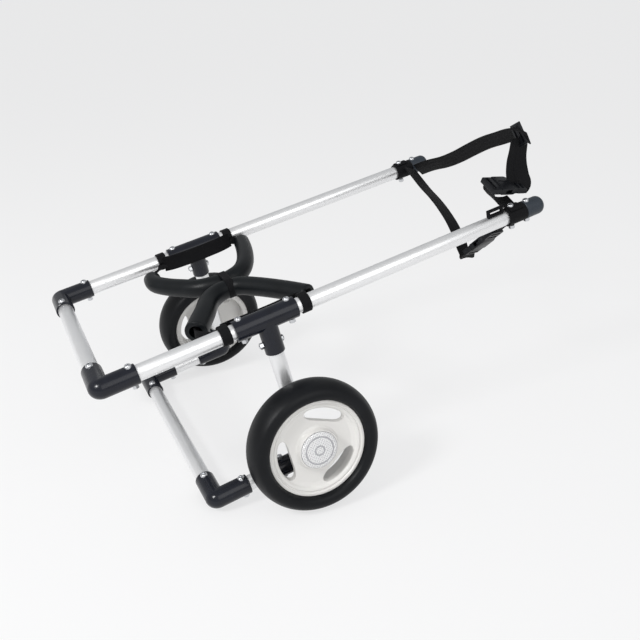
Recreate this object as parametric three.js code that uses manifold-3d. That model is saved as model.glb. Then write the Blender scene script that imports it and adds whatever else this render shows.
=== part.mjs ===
// Rear-support dog wheelchair: an aluminium tube cart that carries a dog's hindquarters between two
// wheels. Millimetres, +Z up. The cart is built in its own frame (+X forward to the harness, +Y to the
// dog's left, Z = 0 in the plane of the two long rails, X = 0 on the rear crossbar) and is then tipped
// back until it stands on its tyres and its lower rear elbows, as it does when no dog is in it.
import * as THREE from 'three';
import { mergeVertices } from 'three/addons/utils/BufferGeometryUtils.js';
import Module from 'manifold-3d';

const wasm = await Module();
wasm.setup();
const { degToRad } = THREE.MathUtils;

// ---------------------------------------------------------------- driving dimensions
// tubes and the sockets that hold them
const tubeRadius = 11.1;
const tubeWall = 1.6;
const seatGap = 0.3;
const socketWall = 2.4;
const socketDepth = 38;
const elbowArm = 50;
const elbowBend = 4;
const elbowBoltInset = 8;
const teeHalfRun = 45.5;
const teeBranch = 49;
const teeSwell = 0.9;
const teeBoltInset = 10;
const teeBranchBoltInset = 15;

// layout of the frame
const railSpacing = 316;
const railLength = 688;
const lowerSetForward = 83.5;
const lowerDrop = 216;
const strutSetForward = 229;
const sideLean = degToRad(8);

// cross bolts with pan heads and lock nuts
const boltRadius = 2.5;
const boltClearance = 0.6;
const headRadius = 5;
const headHeight = 3.2;
const nutRadius = 4.6;
const nutHeight = 4.8;
const threadShown = 1;

// wheels, measured along the axle from the middle plane of the tyre
const tyreRadius = 95;
const tyreHalfWidth = 26;
const tyreShoulder = 15.5;
const wheelOffset = 43;
const axleUpArm = 38;
const rimLipRadius = 70;
const rimLipThickness = 2.5;
const rimHalfWidth = 17;
const beadSeatRadius = 64.5;
const barrelWall = 3.5;
const webFace = 12;
const webThickness = 10;
const hubRadius = 16;
const hubReach = 22;
const bossRadius = 28.5;
const bossWall = 1.6;
const axleWrenchRoom = 18;
const slotCount = 3;
const slotInner = 38;
const slotOuter = 58;
const slotHalfLength = 32;
const axleRadius = 4;
const axleHeadRadius = 7.4;
const axleHeadHeight = 5.3;
const axleNutHeight = 8;
const axleThreadShown = 3;
const sleeveWall = 2;
const standoffWall = 3;
const bearingRadius = 11;
const bearingWidth = 7;
const reflectorRadius = 26.5;
const reflectorThickness = 3.2;

// saddle of two foam rings hung from four webbing loops
const foamRadius = 16.5;
const foamHole = 7.5;
const loopWidth = 14;
const loopWall = 2.4;
const loopGap = 6;
const tieWidth = 20;
const tieWall = 2.2;
const tieEase = 0.3;
const saddleSag = 8;

// webbing, buckles and caps at the harness end
const webbingWidth = 25.4;
const webbingThickness = 2;
const collarLength = 33;
const collarWall = 2.6;
const collarBoltInset = 11;
const capCover = 28;
const capNose = 6;
const capWall = 2.4;
const capBoltInset = 6;
const buckleWidth = 34;
const buckleThickness = 11;
const buckleWall = 2.2;
const buckleSocketLength = 46;
const plugBaseLength = 16;
const plugReach = 22;
const sliderLength = 34;
const sliderWidth = 20;
const sliderThickness = 3.5;
const bellyTail = 29.5;

// ---------------------------------------------------------------- worked out from them
const socketBore = tubeRadius + seatGap;
const fittingRadius = socketBore + socketWall;
const socketFloor = elbowArm - socketDepth;
const tubeFromCorner = socketFloor + seatGap;
const elbowBolt = elbowArm - elbowBoltInset;
const coreRadius = tubeRadius - tubeWall;
const boltHole = boltRadius + boltClearance;
const teeRunRadius = fittingRadius + teeSwell;
const teeFloor = teeHalfRun - socketDepth;
const teeBranchFloor = teeBranch - socketDepth;
const teeBolt = teeHalfRun - teeBoltInset;
const teeBranchBolt = teeBranch - teeBranchBoltInset;
const railHalf = railSpacing / 2;
const lowerHalf = railHalf + lowerDrop * Math.tan(sideLean);
const strutLength = lowerDrop / Math.cos(sideLean);
const axleDrop = strutLength - axleUpArm;
const axleHole = axleRadius + seatGap;
const collarStart = railLength - capCover - seatGap - collarLength;
const collarRadius = socketBore + collarWall;
const capRadius = socketBore + capWall;
const loopRadius = tubeRadius + seatGap + loopWall;
const frontLoopAt = strutSetForward + teeHalfRun + loopGap + loopWidth / 2;
const rearLoopAt = strutSetForward - teeHalfRun - loopGap - loopWidth / 2;
const foamCentre = foamRadius + seatGap;

// ---------------------------------------------------------------- materials
const finish = (color, roughness, metalness, extra = {}) =>
  new THREE.MeshStandardMaterial({ color, roughness, metalness, ...extra });
const anodised = finish(0xc4c6c8, 0.38, 0.9);
const blackPlastic = finish(0x14161a, 0.25, 0);
const capPlastic = finish(0x2c333c, 0.45, 0);
const tyreRubber = finish(0x0d0e0f, 0.55, 0);
const rimPlastic = finish(0xe4e3dd, 0.45, 0);
const clearReflector = finish(0xdedede, 0.1, 0, { transparent: true, opacity: 0.75 });
const steel = finish(0xb5b7ba, 0.3, 1);
const foam = finish(0x24272b, 0.9, 0);
const webbing = finish(0x101012, 0.85, 0);
const bucklePlastic = finish(0x15161a, 0.4, 0);

// ---------------------------------------------------------------- solids
const sides = 20;

// A closed three.js geometry as a manifold solid, with its faces turned to point out.
function solid(geometry) {
  const bare = geometry.index ? geometry.toNonIndexed() : geometry.clone();
  bare.deleteAttribute('normal');
  bare.deleteAttribute('uv');
  const merged = mergeVertices(bare, 1e-4);
  const corners = merged.attributes.position;
  const faces = [];
  let volume = 0;
  const [a, b, c] = [new THREE.Vector3(), new THREE.Vector3(), new THREE.Vector3()];
  for (let i = 0; i < merged.index.count; i += 3) {
    const [p, q, r] = [0, 1, 2].map((k) => merged.index.getX(i + k));
    if (p === q || q === r || r === p) continue;
    faces.push(p, q, r);
    a.fromBufferAttribute(corners, p);
    b.fromBufferAttribute(corners, q);
    c.fromBufferAttribute(corners, r);
    volume += a.dot(b.cross(c));
  }
  if (volume < 0) faces.reverse();
  return new wasm.Manifold(new wasm.Mesh({
    numProp: 3,
    vertProperties: new Float32Array(corners.array),
    triVerts: new Uint32Array(faces),
  }));
}

// A manifold solid as a three.js geometry.
function geometryOf(shape) {
  const mesh = shape.getMesh();
  const geometry = new THREE.BufferGeometry();
  geometry.setAttribute('position', new THREE.BufferAttribute(new Float32Array(mesh.vertProperties), 3));
  geometry.setIndex(new THREE.BufferAttribute(new Uint32Array(mesh.triVerts), 1));
  geometry.computeVertexNormals();
  return geometry;
}

const joined = (...geometries) => geometries.map(solid).reduce((whole, next) => whole.add(next));
const cut = (shape, ...geometries) => geometries.map(solid).reduce((left, next) => left.subtract(next), shape);

// A round bar from start to end along one axis.
function bar(axis, radius, start, end, segments = sides) {
  const geometry = new THREE.CylinderGeometry(radius, radius, end - start, segments);
  geometry.translate(0, (start + end) / 2, 0);
  if (axis === 'x') geometry.rotateZ(-Math.PI / 2);
  if (axis === 'z') geometry.rotateX(Math.PI / 2);
  return geometry;
}

// A solid of revolution about an axis, from [radius, height] points that start and end on the
// axis, or that close on themselves.
function turned(axis, profile, segments = sides) {
  const geometry = new THREE.LatheGeometry(profile.map(([r, h]) => new THREE.Vector2(r, h)), segments);
  if (axis === 'x') geometry.rotateZ(-Math.PI / 2);
  if (axis === 'z') geometry.rotateX(Math.PI / 2);
  return geometry;
}

// A ring about an axis, with a bore.
function ring(axis, bore, radius, start, end, segments = sides) {
  const profile = [[bore, start], [radius, start], [radius, end], [bore, end], [bore, start]];
  return turned(axis, profile, segments);
}

const block = (x, y, z, at) => new THREE.BoxGeometry(x, y, z).translate(...at);

// A flat outline pushed out to a thickness, centred on its own plane.
function plate(shape, thickness, curveSegments = 6) {
  const geometry = new THREE.ExtrudeGeometry(shape, { depth: thickness, bevelEnabled: false, curveSegments });
  return geometry.translate(0, 0, -thickness / 2);
}

// The outline of a band of even width along a smooth line through [x, y] points.
function bandOutline(points, width, steps = 16) {
  const line = new THREE.SplineCurve(points.map(([x, y]) => new THREE.Vector2(x, y)));
  const edge = (side) => Array.from({ length: steps + 1 }, (_, i) => {
    const along = line.getTangent(i / steps);
    return line.getPoint(i / steps).add(new THREE.Vector2(-along.y, along.x).multiplyScalar(side * width / 2));
  });
  return new THREE.Shape([...edge(-1), ...edge(1).reverse()]);
}

// A rectangle with rounded corners.
function roundedRectangle(left, right, halfHeight, corner) {
  const shape = new THREE.Shape();
  shape.moveTo(left + corner, -halfHeight);
  shape.lineTo(right - corner, -halfHeight);
  shape.absarc(right - corner, corner - halfHeight, corner, -Math.PI / 2, 0);
  shape.absarc(right - corner, halfHeight - corner, corner, 0, Math.PI / 2);
  shape.absarc(left + corner, halfHeight - corner, corner, Math.PI / 2, Math.PI);
  shape.absarc(left + corner, corner - halfHeight, corner, Math.PI, 1.5 * Math.PI);
  return shape;
}

// Turns that lay a shape drawn in XY, and pushed out along Z, into another plane.
const intoYZ = (geometry) => geometry.applyMatrix4(new THREE.Matrix4().makeBasis(
  new THREE.Vector3(0, 1, 0), new THREE.Vector3(0, 0, 1), new THREE.Vector3(1, 0, 0)));
const intoXZ = (geometry) => geometry.rotateX(Math.PI / 2);

// The three pieces of a cross bolt along Z, seated on walls at +seat and -seat, moved by a matrix.
function crossBolt(seat, place) {
  const bedded = 0.4;
  const pan = turned('z', [
    [0, -bedded], [headRadius, -bedded], [headRadius, headHeight * 0.5], [headRadius * 0.6, headHeight],
    [0, headHeight],
  ], 8).translate(0, 0, seat);
  const nut = bar('z', nutRadius, -nutHeight, bedded, 6).translate(0, 0, -seat);
  const shank = bar('z', boltRadius, -seat - nutHeight - threadShown, seat, 6);
  return [shank, pan, nut].map((piece) => piece.applyMatrix4(place));
}

const at = (x, y, z) => new THREE.Matrix4().makeTranslation(x, y, z);
const turnX = (angle) => new THREE.Matrix4().makeRotationX(angle);
const turnY = (angle) => new THREE.Matrix4().makeRotationY(angle);

// ---------------------------------------------------------------- the scene graph
const cart = new THREE.Group();

// Adds a piece to a group. Pieces are drawn for the left side; the right side gets their mirror image.
function add(group, name, shape, material, side = 1) {
  const drawn = shape.isBufferGeometry ? shape : geometryOf(shape);
  const mesh = new THREE.Mesh(side < 0 ? geometryOf(solid(drawn.scale(1, -1, 1))) : drawn, material);
  mesh.name = name;
  group.add(mesh);
  return mesh;
}

// ---------------------------------------------------------------- tubes
// A tube along X, drilled for cross bolts, each given by its place and its turn about the tube.
function drilledTube(start, end, holes) {
  const tube = solid(bar('x', tubeRadius, start, end));
  const drills = holes.map(({ x, turn = 0, radius = boltHole }) =>
    bar('z', radius, -2 * tubeRadius, 2 * tubeRadius, radius > boltHole ? 12 : 6).translate(x, 0, 0).rotateX(turn));
  return geometryOf(cut(tube, bar('x', coreRadius, start - 1, end + 1), ...drills));
}

function crossTube(half) {
  const end = half - tubeFromCorner;
  const hole = half - elbowBolt;
  return drilledTube(-end, end, [{ x: -hole }, { x: hole }]).rotateZ(Math.PI / 2);
}

// ---------------------------------------------------------------- socket fittings
// A 90 degree elbow with arms along +X and -Y. The bolt through its +X arm can be turned about the arm,
// and the -Y arm takes either a bolt or the wheel's axle.
function elbow({ boltTurn = 0, axleAt = 0 } = {}) {
  const sweep = Math.acos(-elbowBend / fittingRadius);
  const arcSteps = 6;
  const profile = [];
  for (let i = 0; i <= arcSteps; i += 1) {
    const angle = sweep * (2 * i / arcSteps - 1);
    const radius = i % arcSteps === 0 ? 0 : elbowBend + fittingRadius * Math.cos(angle);
    profile.push([radius, fittingRadius * Math.sin(angle)]);
  }
  const size = 4 * fittingRadius;
  const knuckle = solid(turned('z', profile).translate(elbowBend, -elbowBend, 0))
    .intersect(solid(block(size, size, size, [elbowBend - size / 2, size / 2 - elbowBend, 0])));
  const arms = joined(
    bar('x', fittingRadius, 0, elbowArm),
    bar('y', fittingRadius, -elbowArm, 0),
  );
  const body = cut(
    knuckle.add(arms),
    bar('x', socketBore, socketFloor, elbowArm + 1),
    bar('y', socketBore, -elbowArm - 1, -socketFloor),
  );
  const bolts = crossBolt(fittingRadius, at(elbowBolt, 0, 0).multiply(turnX(boltTurn)));
  if (!axleAt) return body.add(joined(...bolts, ...crossBolt(fittingRadius, at(0, -elbowBolt, 0))));
  const axleBore = bar('z', axleHole, -2 * fittingRadius, 2 * fittingRadius, 12).translate(0, -axleAt, 0);
  return cut(body.add(joined(...bolts)), axleBore);
}

// The tee that joins both rail tubes, along X, to the strut, along -Z.
function tee() {
  const body = cut(
    joined(bar('x', teeRunRadius, -teeHalfRun, teeHalfRun), bar('z', fittingRadius, -teeBranch, 0)),
    bar('x', socketBore, teeFloor, teeHalfRun + 1),
    bar('x', socketBore, -teeHalfRun - 1, -teeFloor),
    bar('z', socketBore, -teeBranch - 1, -teeBranchFloor),
  );
  return body.add(joined(
    ...crossBolt(teeRunRadius, at(-teeBolt, 0, 0)),
    ...crossBolt(teeRunRadius, at(teeBolt, 0, 0)),
    ...crossBolt(fittingRadius, at(0, 0, -teeBranchBolt).multiply(turnY(Math.PI / 2))),
  ));
}

// ---------------------------------------------------------------- wheels
// All wheel pieces are turned about Z, with the outer side of the wheel towards +Z.
const lipInner = rimHalfWidth - rimLipThickness;
const bearingPocket = bearingRadius + seatGap;
const innerFloor = seatGap + bearingWidth - hubReach;
const outerFloor = webFace + 1 - bearingWidth - seatGap;
const axleSeat = webFace + 1 + seatGap;
const reflectorSeat = axleSeat + axleHeadHeight + 2 * seatGap;
const reflectorPocket = reflectorRadius + seatGap;
const wheelSides = 28;

function tyre() {
  const centre = tyreRadius - tyreShoulder;
  const seat = beadSeatRadius + seatGap;
  const overLip = rimLipRadius + seatGap;
  const bead = lipInner - seatGap;
  const profile = [[seat, -bead], [overLip, -bead], [overLip, -rimHalfWidth]];
  const wrap = degToRad(118);
  const arcSteps = 9;
  for (let i = 0; i <= arcSteps; i += 1) {
    const angle = wrap * (2 * i / arcSteps - 1);
    profile.push([centre + tyreShoulder * Math.cos(angle), tyreHalfWidth * Math.sin(angle)]);
  }
  profile.push([overLip, rimHalfWidth], [overLip, bead], [seat, bead], [seat, -bead]);
  return turned('z', profile, wheelSides);
}

// A D-shaped window: a straight inner edge, a round outer edge and soft ends.
function slotOutline() {
  const swing = Math.asin(slotHalfLength / slotOuter);
  const [tipX, tipY] = [slotOuter * Math.cos(swing), slotOuter * Math.sin(swing)];
  const straight = slotHalfLength * 0.78;
  const shape = new THREE.Shape();
  shape.moveTo(slotInner, -straight);
  shape.lineTo(slotInner, straight);
  shape.quadraticCurveTo(slotInner, tipY * 1.08, tipX, tipY);
  shape.absarc(0, 0, slotOuter, swing, -swing, true);
  shape.quadraticCurveTo(slotInner, -tipY * 1.08, slotInner, -straight);
  return shape;
}

function rim() {
  const webBack = webFace - webThickness;
  const barrelInner = beadSeatRadius - barrelWall;
  const hubBore = axleRadius + sleeveWall + 1.5;
  const bossTop = reflectorSeat + bossWall;
  const profile = [
    [hubBore, outerFloor], [bearingPocket, outerFloor], [bearingPocket, webFace + 1],
    [axleWrenchRoom, webFace + 1], [axleWrenchRoom, reflectorSeat], [reflectorPocket, reflectorSeat],
    [reflectorPocket, bossTop], [bossRadius, bossTop], [bossRadius + 1.5, webFace - 1],
    [barrelInner - 3, webFace], [barrelInner, rimHalfWidth - 2], [barrelInner + 4, rimHalfWidth],
    [rimLipRadius, rimHalfWidth], [rimLipRadius, lipInner],
    [beadSeatRadius, lipInner], [beadSeatRadius, -lipInner], [rimLipRadius, -lipInner],
    [rimLipRadius, -rimHalfWidth], [barrelInner, -rimHalfWidth], [barrelInner, webBack],
    [hubRadius, webBack], [hubRadius, -hubReach], [bearingPocket, -hubReach],
    [bearingPocket, innerFloor], [hubBore, innerFloor], [hubBore, outerFloor],
  ];
  const windows = [];
  for (let i = 0; i < slotCount; i += 1) {
    windows.push(plate(slotOutline(), 6 * webThickness).rotateZ(Math.PI + i * 2 * Math.PI / slotCount));
  }
  return cut(solid(turned('z', profile, wheelSides)), ...windows);
}

function reflector() {
  const top = reflectorSeat + seatGap + reflectorThickness;
  const bottom = reflectorSeat + seatGap;
  return turned('z', [
    [0, bottom], [reflectorRadius, bottom], [reflectorRadius, top - 1.6],
    [reflectorRadius - 2.5, top - 0.4], [0, top],
  ], 24);
}

const bearing = (start) => ring('z', axleHole, bearingRadius, start, start + bearingWidth, 16);
const axleSleeve = () => ring('z', axleHole, axleRadius + sleeveWall, innerFloor, outerFloor, 12);
const elbowCrest = fittingRadius - wheelOffset + seatGap;
const nutSeat = -wheelOffset - fittingRadius - seatGap;
const axleStandoff = () => ring('z', axleHole, axleRadius + standoffWall, elbowCrest, -hubReach - seatGap, 12);
const axleBolt = () => joined(
  bar('z', axleHeadRadius, axleSeat, axleSeat + axleHeadHeight, 6),
  bar('z', axleRadius, nutSeat - axleNutHeight - axleThreadShown, axleSeat + 1, 12),
);
const axleNut = () => cut(
  solid(bar('z', axleHeadRadius, nutSeat - axleNutHeight, nutSeat, 6)),
  bar('z', axleHole, nutSeat - axleNutHeight - 1, nutSeat + 1, 12),
);

// ---------------------------------------------------------------- one side of the cart
// The strut, the tee, the bottom elbow and the wheel lean outward about the rail by sideLean.
for (const [word, side] of [['left', 1], ['right', -1]]) {
  const atRail = new THREE.Group();
  atRail.position.set(0, side * railHalf, 0);
  const leaning = new THREE.Group();
  leaning.position.set(strutSetForward, side * railHalf, 0);
  leaning.rotation.x = side * sideLean;
  const atLower = new THREE.Group();
  atLower.position.set(lowerSetForward, side * lowerHalf, -lowerDrop);
  const wheel = new THREE.Group();
  wheel.position.set(0, side * wheelOffset, -axleDrop);
  wheel.rotation.x = -side * Math.PI / 2;
  leaning.add(wheel);
  cart.add(atRail, leaning, atLower);

  const rearTube = drilledTube(tubeFromCorner, strutSetForward - teeFloor - seatGap, [
    { x: elbowBolt }, { x: strutSetForward - teeBolt, turn: sideLean },
  ]);
  const frontTube = drilledTube(strutSetForward + teeFloor + seatGap, railLength, [
    { x: strutSetForward + teeBolt, turn: sideLean }, { x: collarStart + collarBoltInset },
    { x: railLength - capCover + capBoltInset },
  ]);
  const lowerTube = drilledTube(tubeFromCorner, strutSetForward - lowerSetForward - tubeFromCorner, [
    { x: elbowBolt }, { x: strutSetForward - lowerSetForward - elbowBolt, turn: sideLean },
  ]);
  // the strut is drawn along X, with its top towards -X, and then hung from the tee
  const strut = drilledTube(teeBranchFloor + seatGap, strutLength - tubeFromCorner, [
    { x: teeBranchBolt }, { x: axleDrop, turn: Math.PI / 2, radius: axleHole + 0.3 },
  ]).rotateY(Math.PI / 2);
  add(atRail, `${word}_rear_rail_tube`, rearTube, anodised, side);
  add(atRail, `${word}_front_rail_tube`, frontTube, anodised, side);
  add(atLower, `${word}_lower_side_tube`, lowerTube, anodised, side);
  add(leaning, `${word}_strut_tube`, strut, anodised, side);

  add(atRail, `${word}_upper_elbow`, elbow(), blackPlastic, side);
  add(atLower, `${word}_lower_elbow`, elbow(), blackPlastic, side);
  add(leaning, `${word}_tee`, tee(), blackPlastic, side);
  const bottomElbow = geometryOf(elbow({ boltTurn: Math.PI / 2, axleAt: axleUpArm }))
    .rotateZ(Math.PI).rotateX(Math.PI / 2).translate(0, 0, -strutLength);
  add(leaning, `${word}_bottom_elbow`, bottomElbow, blackPlastic, side);

  // the wheel group is turned so that +Z points outboard on either side
  add(wheel, `${word}_tyre`, tyre(), tyreRubber);
  add(wheel, `${word}_rim`, rim(), rimPlastic);
  add(wheel, `${word}_reflector`, reflector(), clearReflector);
  add(wheel, `${word}_outer_bearing`, bearing(outerFloor + seatGap), steel);
  add(wheel, `${word}_inner_bearing`, bearing(-hubReach), steel);
  add(wheel, `${word}_axle_sleeve`, axleSleeve(), steel);
  add(wheel, `${word}_axle_standoff`, axleStandoff(), steel);
  add(wheel, `${word}_axle_bolt`, axleBolt(), steel);
  add(wheel, `${word}_axle_nut`, axleNut(), steel);
}
add(cart, 'rear_crossbar_tube', crossTube(railHalf), anodised);
add(cart, 'lower_crossbar_tube', crossTube(lowerHalf), anodised)
  .position.set(lowerSetForward, 0, -lowerDrop);

// ---------------------------------------------------------------- saddle
// Each foam ring runs from a mouth near the rear loop, round past the middle of the saddle, to a
// mouth near the front loop. Places are [x from the strut, share of the way to the rail].
const saddleRoute = {
  left: [
    [-69, 0.79], [-84, 0.73], [-90, 0.6], [-79, 0.42], [-57, 0.2], [-35, 0.03],
    [-15, 0], [15, 0], [30, 0.05], [46, 0.19], [60, 0.42], [70, 0.66], [75, 0.82],
  ],
  right: [
    [-83, 0.76], [-73, 0.57], [-57, 0.34], [-37, 0.1], [-15, 0], [15, 0], [33, 0.13], [50, 0.4], [65, 0.63], [76, 0.79],
  ],
};
const foamSection = new THREE.Shape();
foamSection.absarc(0, 0, foamRadius, 0, 2 * Math.PI);
foamSection.holes.push(new THREE.Path().absarc(0, 0, foamHole, 0, 2 * Math.PI, true));

for (const [word, side] of [['left', 1], ['right', -1]]) {
  const span = railHalf - foamCentre;
  const points = saddleRoute[word].map(([x, share]) => new THREE.Vector3(
    strutSetForward + x, foamCentre + share * span, -saddleSag));
  const route = new THREE.CatmullRomCurve3(points);
  const tube = new THREE.ExtrudeGeometry(foamSection, { steps: 28, curveSegments: 5, extrudePath: route });
  // the rings press flat against each other in the middle
  const half = block(2 * railSpacing, railSpacing, railSpacing, [0, (railSpacing + seatGap) / 2, 0]);
  add(cart, `${word}_foam_ring`, solid(tube).intersect(solid(half)), foam, side);

  // each loop goes round the rail and sends a tail of webbing into the mouth of the foam
  for (const [where, loopAt, mouth, inward] of [['rear', rearLoopAt, 0, 1], ['front', frontLoopAt, 1, -1]]) {
    const outward = route.getTangentAt(mouth).multiplyScalar(-inward * 7);
    const mouthPoint = route.getPointAt(mouth);
    const before = mouthPoint.clone().add(outward);
    const inside = mouthPoint.clone().addScaledVector(outward, -1);
    const root = railHalf - tubeRadius - loopWall / 2 - seatGap;
    const bend = [[loopAt, root], [before.x, before.y], [mouthPoint.x, mouthPoint.y], [inside.x, inside.y]];
    const tail = plate(bandOutline(bend, webbingThickness, 6), loopWidth - 0.6).translate(0, 0, -saddleSag);
    const band = ring('x', tubeRadius + seatGap, loopRadius, -loopWidth / 2, loopWidth / 2)
      .translate(loopAt, railHalf, 0);
    const clearTube = bar('x', tubeRadius + seatGap, -loopWidth, loopWidth).translate(loopAt, railHalf, 0);
    add(cart, `${word}_${where}_rail_loop`, cut(joined(band, tail), clearTube), webbing, side);
  }
  const bandStart = rearLoopAt + loopWidth / 2 + seatGap;
  const bandEnd = frontLoopAt - loopWidth / 2 - seatGap;
  const beside = railHalf - teeRunRadius - seatGap - webbingThickness / 2;
  const innerBand = block(bandEnd - bandStart, webbingThickness, webbingWidth, [0, 0, 0])
    .translate((bandStart + bandEnd) / 2, beside, 0);
  add(cart, `${word}_saddle_band`, innerBand, webbing, side);
}

// the webbing tie that wraps both foam rings where they meet
function tieOutline(radius) {
  const shape = new THREE.Shape();
  shape.absarc(foamCentre, 0, radius, -Math.PI / 2, Math.PI / 2);
  shape.absarc(-foamCentre, 0, radius, Math.PI / 2, 1.5 * Math.PI);
  return shape;
}
const tieBore = foamRadius + seatGap + tieEase;
const tieShape = tieOutline(tieBore + tieWall);
tieShape.holes.push(tieOutline(tieBore));
add(cart, 'centre_tie', intoYZ(plate(tieShape, tieWidth, 8)), webbing)
  .position.set(strutSetForward, 0, -saddleSag);

// ---------------------------------------------------------------- rail ends

function endCap() {
  const rear = railLength - capCover;
  const tip = railLength + capNose;
  const roundness = 10;
  const profile = [
    [0, railLength + seatGap], [socketBore, railLength + seatGap], [socketBore, rear], [capRadius, rear],
  ];
  const arcSteps = 4;
  for (let i = 0; i <= arcSteps; i += 1) {
    const angle = Math.PI / 2 * i / arcSteps;
    const inset = capRadius - roundness;
    profile.push([inset + roundness * Math.cos(angle), tip - roundness * (1 - Math.sin(angle))]);
  }
  profile.push([0, tip]);
  return joined(turned('x', profile), ...crossBolt(capRadius, at(rear + capBoltInset, 0, 0)));
}

// ---------------------------------------------------------------- side-release buckles
// Drawn with the mouth of the socket at X = 0: the socket runs to +X and the plug's base to -X.
const cavityHalf = buckleWidth / 2 - buckleWall - 0.8;
const cavityDepth = buckleThickness / 2 - buckleWall;

function buckleSocket() {
  const body = solid(plate(roundedRectangle(0, buckleSocketLength, buckleWidth / 2, 3), buckleThickness, 3));
  const slotLength = webbingWidth + 1;
  return cut(
    body,
    block(plugReach + 3, 2 * cavityHalf, 2 * cavityDepth, [plugReach / 2 + 0.5, 0, 0]),
    block(plugReach * 0.5, 2 * buckleWidth, 2 * cavityDepth, [plugReach * 0.6, 0, 0]),
    block(4, slotLength, 2 * buckleThickness, [buckleSocketLength - 5.5, 0, 0]),
    block(4, slotLength, 2 * buckleThickness, [buckleSocketLength - 13.5, 0, 0]),
  );
}

function bucklePlug() {
  const clear = seatGap;
  const base = plate(roundedRectangle(-plugBaseLength, -clear, buckleWidth / 2, 4), buckleThickness - 2, 3);
  const thickness = 2 * (cavityDepth - clear);
  const tongue = block(plugReach - 2, 6, thickness, [plugReach / 2 - 1.5, 0, 0]);
  const prongs = [-1, 1].flatMap((way) => [
    block(plugReach, 3, thickness, [plugReach / 2 - 0.6, way * (cavityHalf - 5), 0]),
    block(plugReach * 0.45, 5, thickness, [plugReach * 0.7, way * (cavityHalf - clear - 2.5), 0]),
  ]);
  return cut(
    joined(base, tongue, ...prongs),
    block(4, webbingWidth + 1, 2 * buckleThickness, [5.5 - plugBaseLength, 0, 0]),
  );
}

// A web slider: a flat ring with a bar across its middle.
function slider() {
  const outline = roundedRectangle(-sliderLength / 2, sliderLength / 2, sliderWidth / 2, 3);
  const slotWidth = sliderWidth / 2 - 4.5;
  const slots = [-1, 1].map((way) => block(webbingWidth + 1, slotWidth, 2 * sliderThickness,
    [0, way * (slotWidth / 2 + 1.75), 0]));
  return cut(solid(plate(outline, sliderThickness, 3)), ...slots);
}

// ---------------------------------------------------------------- harness
// The shoulder buckle lies over the right rail, its socket forward and a little lower than its plug.
const shoulderMouth = new THREE.Vector3(railLength - 62, 14 - railHalf, 48);
const shoulderPitch = degToRad(18);
const shoulderTilt = degToRad(20);
const shoulderPlace = at(...shoulderMouth).multiply(turnY(shoulderPitch)).multiply(turnX(shoulderTilt));

// The belly buckle climbs from under the dog, outward and forward, to the right collar.
const bellyMouth = new THREE.Vector3(railLength - 79, 54.4 - railHalf, -58.5);
const bellyAlong = new THREE.Vector3(0.435, -0.635, 0.635).normalize();
const bellyAcross = new THREE.Vector3(1, 0, 0).addScaledVector(bellyAlong, -bellyAlong.x).normalize();
const bellyPlace = at(...bellyMouth).multiply(new THREE.Matrix4().makeBasis(
  bellyAlong, bellyAcross, new THREE.Vector3().crossVectors(bellyAlong, bellyAcross)));

// Collars of folded webbing bolted round the rails; the right one also holds the belly buckle.
for (const [word, side] of [['left', 1], ['right', -1]]) {
  const centre = [0, side * railHalf, 0];
  const ends = [collarStart, collarStart + collarLength];
  const cloth = [bar('x', collarRadius, ...ends).translate(...centre)];
  if (side < 0) {
    const tail = block(bellyTail, webbingWidth, webbingThickness,
      [buckleSocketLength + seatGap + bellyTail / 2, 0, 0]);
    cloth.push(tail.applyMatrix4(bellyPlace));
  }
  const sleeve = cut(joined(...cloth), bar('x', socketBore, ends[0] - 1, ends[1] + 1).translate(...centre));
  const bolt = crossBolt(collarRadius, at(collarStart + collarBoltInset, ...centre.slice(1)));
  add(cart, `${word}_collar`, sleeve.add(joined(...bolt)), webbing);
  add(cart, `${word}_end_cap`, geometryOf(endCap()).translate(...centre), capPlastic);
}

add(cart, 'shoulder_buckle_socket', geometryOf(buckleSocket()).applyMatrix4(shoulderPlace), bucklePlastic);
add(cart, 'shoulder_buckle_plug', geometryOf(bucklePlug()).applyMatrix4(shoulderPlace), bucklePlastic);
add(cart, 'belly_buckle_socket', geometryOf(buckleSocket()).applyMatrix4(bellyPlace), bucklePlastic);
add(cart, 'belly_buckle_plug', geometryOf(bucklePlug()).applyMatrix4(bellyPlace), bucklePlastic);

// The slider at the top of the chest strap, and the room that webbing leaves round a buckle part.
const sliderAlong = new THREE.Vector3(0.05, -0.47, -0.88).normalize();
const sliderAcross = new THREE.Vector3(-0.1, 0.88, -0.47);
sliderAcross.addScaledVector(sliderAlong, -sliderAlong.dot(sliderAcross)).normalize();
const sliderPlace = at(railLength - 5, 18 - railHalf, 110).multiply(new THREE.Matrix4().makeBasis(
  sliderAlong, sliderAcross, new THREE.Vector3().crossVectors(sliderAlong, sliderAcross)));
add(cart, 'top_slider', geometryOf(slider()).applyMatrix4(sliderPlace), bucklePlastic);
const room = (start, end, width, thickness, place) => block(
  end - start + 2 * seatGap, width + 2 * seatGap, thickness + 2 * seatGap, [(start + end) / 2, 0, 0],
).applyMatrix4(place);
const sliderRoom = room(-sliderLength / 2, sliderLength / 2, sliderWidth, sliderThickness, sliderPlace);

// The chest strap stands on edge across the front, from beside the left cap up to the slider.
const chestRoot = at(railLength - 20, railHalf - capRadius - 2.4, 0)
  .multiply(new THREE.Matrix4().makeRotationZ(degToRad(2.4)));
const chestSpan = railSpacing - 43.5;
const chestRise = [
  [0, -5], [0.08, 1], [0.155, 9], [0.317, 25], [0.453, 46.5], [0.602, 72.5], [0.737, 90.5], [0.86, 101], [1, 110],
];
const chestBand = plate(bandOutline(chestRise.map(([share, z]) => [-share * chestSpan, z]), webbingWidth),
  webbingThickness);
add(cart, 'chest_strap', cut(solid(intoYZ(chestBand).applyMatrix4(chestRoot)), sliderRoom), webbing);

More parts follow.
